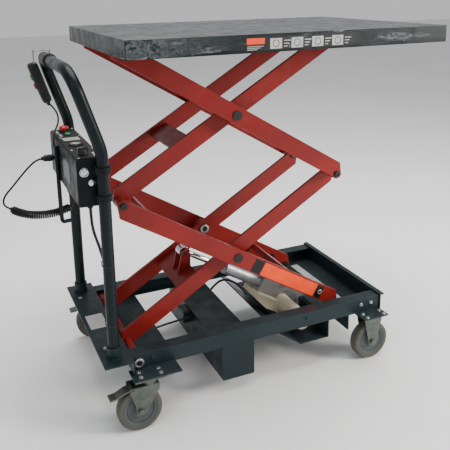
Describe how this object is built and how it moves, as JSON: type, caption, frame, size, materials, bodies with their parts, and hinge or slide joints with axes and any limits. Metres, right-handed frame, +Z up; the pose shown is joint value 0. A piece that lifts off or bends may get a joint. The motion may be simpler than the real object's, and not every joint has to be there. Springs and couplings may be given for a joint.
{
  "type": "mobile scissor lift table",
  "caption": "Battery-powered double scissor lift table on four casters: steel platform, crossed red arms, electric ram, push handle with control box and hung handset.",
  "frame": {"origin": "on the floor, under the middle of the bounding box of everything but the free handset cord", "axes": "+Z up, +X from the push handle towards the load end, +Y across the table, away from the side that faces the camera in the reference view"},
  "size_m": [1.2082, 0.6512, 1.0572],
  "materials": {
    "frame_paint": "semi-gloss dark grey-green enamel",
    "arm_paint": "semi-gloss orange-red enamel",
    "zinc": "bright zinc plating",
    "chrome_part": "polished chrome",
    "blackened": "black oxide steel",
    "alu": "grey anodised aluminium",
    "cream": "cream enamel",
    "black_plastic": "matte black plastic",
    "grey_plastic": "textured mid grey plastic",
    "red_plastic": "gloss red plastic",
    "green_plastic": "gloss green plastic",
    "gauge_face": "gloss display with a black bezel",
    "wheel_tread": "olive-grey polyurethane tread on a grey core",
    "cord_jacket": "black cord jacket",
    "film": "clear protective film"
  },
  "bodies": {
    "base": {"near_side_rail": "frame_paint", "far_side_rail": "frame_paint", "handle_end_floor": "frame_paint", "load_end_floor": "frame_paint", "end_plate": "frame_paint", "handle_plate": "frame_paint", "actuator_trough": "frame_paint", "clevis_bracket": "frame_paint", "battery_box": "frame_paint", "handle_bar": "frame_paint", "control_box": "frame_paint", "control_panel": "grey_plastic", "battery_gauge": "gauge_face", "charging_socket": "chrome_part", "cable_glands": "black_plastic", "control_cables": "cord_jacket", "cord_hook": "blackened", "handset_case": "black_plastic", "cord_upper": "cord_jacket", "cord_connector": "black_plastic", "cord_tail": "cord_jacket", "cord_coil": "cord_jacket", "caster_mount_plates": "frame_paint", "frame_fasteners": "zinc", "pivot_shaft": "chrome_part", "rigid_forks": "zinc", "swivel_plates": "zinc"},
    "lower_inner": {"lower_inner_arms": "arm_paint", "pivot_tube": "arm_paint", "lift_yoke": "arm_paint", "lower_inner_pins": "blackened"},
    "lower_outer": {"lower_outer_arms": "arm_paint", "lower_outer_ties": "arm_paint", "lower_outer_pins": "blackened"},
    "lower_roller_pair": {"lower_rollers": "zinc"},
    "upper_inner": {"upper_inner_arms": "arm_paint", "upper_inner_plate": "arm_paint", "upper_inner_pins": "blackened"},
    "upper_roller_pair": {"upper_rollers": "zinc"},
    "upper_outer": {"upper_outer_arms": "arm_paint", "upper_outer_pins": "blackened"},
    "table": {"table_top": "frame_paint", "table_channels": "frame_paint", "table_film": "film"},
    "actuator": {"actuator_tube": "alu", "actuator_motor": "cream"},
    "actuator_piston": {"actuator_rod": "chrome_part"},
    "swivel_near": {"swivel_fork_near": "zinc"},
    "swivel_far": {"swivel_fork_far": "zinc"},
    "pedal_near": {"brake_pedal_near": "zinc"},
    "pedal_far": {"brake_pedal_far": "zinc"},
    "wheel_a": {"wheel_handle_near": "wheel_tread"},
    "wheel_b": {"wheel_handle_far": "wheel_tread"},
    "wheel_c": {"wheel_load_near": "wheel_tread"},
    "wheel_d": {"wheel_load_far": "wheel_tread"},
    "stop": {"stop_button": "red_plastic"},
    "power": {"power_button": "green_plastic"},
    "knob": {"selector_knob": "black_plastic"},
    "up": {"handset_up_button": "green_plastic"},
    "down": {"handset_down_button": "red_plastic"}
  },
  "joints": [
    {"name": "lift", "type": "hinge", "parent": "base", "child": "lower_inner", "pos_m": [-0.37358, 0, 0.176], "axis": [0, 1, 0], "range_deg": [-3.5, 20.5]},
    {"name": "lower_scissor", "type": "hinge", "parent": "lower_inner", "child": "lower_outer", "pos_m": [-0.03622, 0, 0.39092], "axis": [0, 1, 0], "range_deg": [-41.1, 7.1]},
    {"name": "left_knee", "type": "hinge", "parent": "lower_outer", "child": "upper_inner", "pos_m": [-0.37358, 0, 0.60584], "axis": [0, 1, 0], "range_deg": [-7.1, 41.1]},
    {"name": "upper_scissor", "type": "hinge", "parent": "upper_inner", "child": "upper_outer", "pos_m": [-0.03622, 0, 0.82076], "axis": [0, 1, 0], "range_deg": [-41.1, 7.1]},
    {"name": "table_pivot", "type": "hinge", "parent": "upper_outer", "child": "table", "pos_m": [-0.37358, 0, 1.03568], "axis": [0, 1, 0], "range_deg": [-3.6, 20.6]},
    {"name": "lower_roll", "type": "hinge", "parent": "lower_outer", "child": "lower_roller_pair", "pos_m": [0.30113, 0, 0.176], "axis": [0, 1, 0], "continuous": true},
    {"name": "upper_roll", "type": "hinge", "parent": "upper_inner", "child": "upper_roller_pair", "pos_m": [0.30113, 0, 1.03568], "axis": [0, 1, 0], "continuous": true},
    {"name": "actuator_pivot", "type": "hinge", "parent": "base", "child": "actuator", "pos_m": [0.26242, -0.015, 0.13], "axis": [0, 1, 0], "range_deg": [-6.7, 1.3]},
    {"name": "actuator_stroke", "type": "slide", "parent": "actuator", "child": "actuator_piston", "axis": [-0.8584, 0, 0.513], "range_m": [-0.0965, 0.0175]},
    {"name": "swivel_near_turn", "type": "hinge", "parent": "base", "child": "swivel_near", "pos_m": [-0.35758, -0.264, 0.14], "axis": [0, 0, 1], "continuous": true},
    {"name": "swivel_far_turn", "type": "hinge", "parent": "base", "child": "swivel_far", "pos_m": [-0.35758, 0.264, 0.14], "axis": [0, 0, 1], "continuous": true},
    {"name": "wheel_handle_near_spin", "type": "hinge", "parent": "swivel_near", "child": "wheel_a", "pos_m": [-0.38758, -0.264, 0.0625], "axis": [0, 1, 0], "continuous": true},
    {"name": "wheel_handle_far_spin", "type": "hinge", "parent": "swivel_far", "child": "wheel_b", "pos_m": [-0.38758, 0.264, 0.0625], "axis": [0, 1, 0], "continuous": true},
    {"name": "wheel_load_near_spin", "type": "hinge", "parent": "base", "child": "wheel_c", "pos_m": [0.38742, -0.2425, 0.0625], "axis": [0, 1, 0], "continuous": true},
    {"name": "wheel_load_far_spin", "type": "hinge", "parent": "base", "child": "wheel_d", "pos_m": [0.38742, 0.2425, 0.0625], "axis": [0, 1, 0], "continuous": true},
    {"name": "brake_near_press", "type": "hinge", "parent": "swivel_near", "child": "pedal_near", "pos_m": [-0.40758, -0.264, 0.13], "axis": [0, 1, 0], "range_deg": [-14, 0]},
    {"name": "brake_far_press", "type": "hinge", "parent": "swivel_far", "child": "pedal_far", "pos_m": [-0.40758, 0.264, 0.13], "axis": [0, 1, 0], "range_deg": [-14, 0]},
    {"name": "stop_press", "type": "slide", "parent": "base", "child": "stop", "axis": [0, 0, -1], "range_m": [0, 0.004], "stiffness_N_per_m": 900},
    {"name": "power_press", "type": "slide", "parent": "base", "child": "power", "axis": [0, 0, -1], "range_m": [0, 0.0025], "stiffness_N_per_m": 700},
    {"name": "knob_turn", "type": "hinge", "parent": "base", "child": "knob", "pos_m": [-0.47058, -0.154, 0.765], "axis": [0, 0, 1], "range_deg": [-60, 60]},
    {"name": "handset_up_press", "type": "slide", "parent": "base", "child": "up", "axis": [0.9519, 0, 0.3065], "range_m": [0, 0.002], "stiffness_N_per_m": 600},
    {"name": "handset_down_press", "type": "slide", "parent": "base", "child": "down", "axis": [0.9519, 0, 0.3065], "range_m": [0, 0.002], "stiffness_N_per_m": 600}
  ],
  "couplings": [
    {"joint": "lower_scissor", "follows": "lift", "ratio": -2},
    {"joint": "left_knee", "follows": "lift", "ratio": 2},
    {"joint": "upper_scissor", "follows": "lift", "ratio": -2},
    {"joint": "table_pivot", "follows": "lift", "ratio": 1},
    {"joint": "actuator_pivot", "follows": "lift", "ratio": -0.3},
    {"joint": "actuator_stroke", "follows": "lift", "m_per_rad": -0.2685}
  ]
}
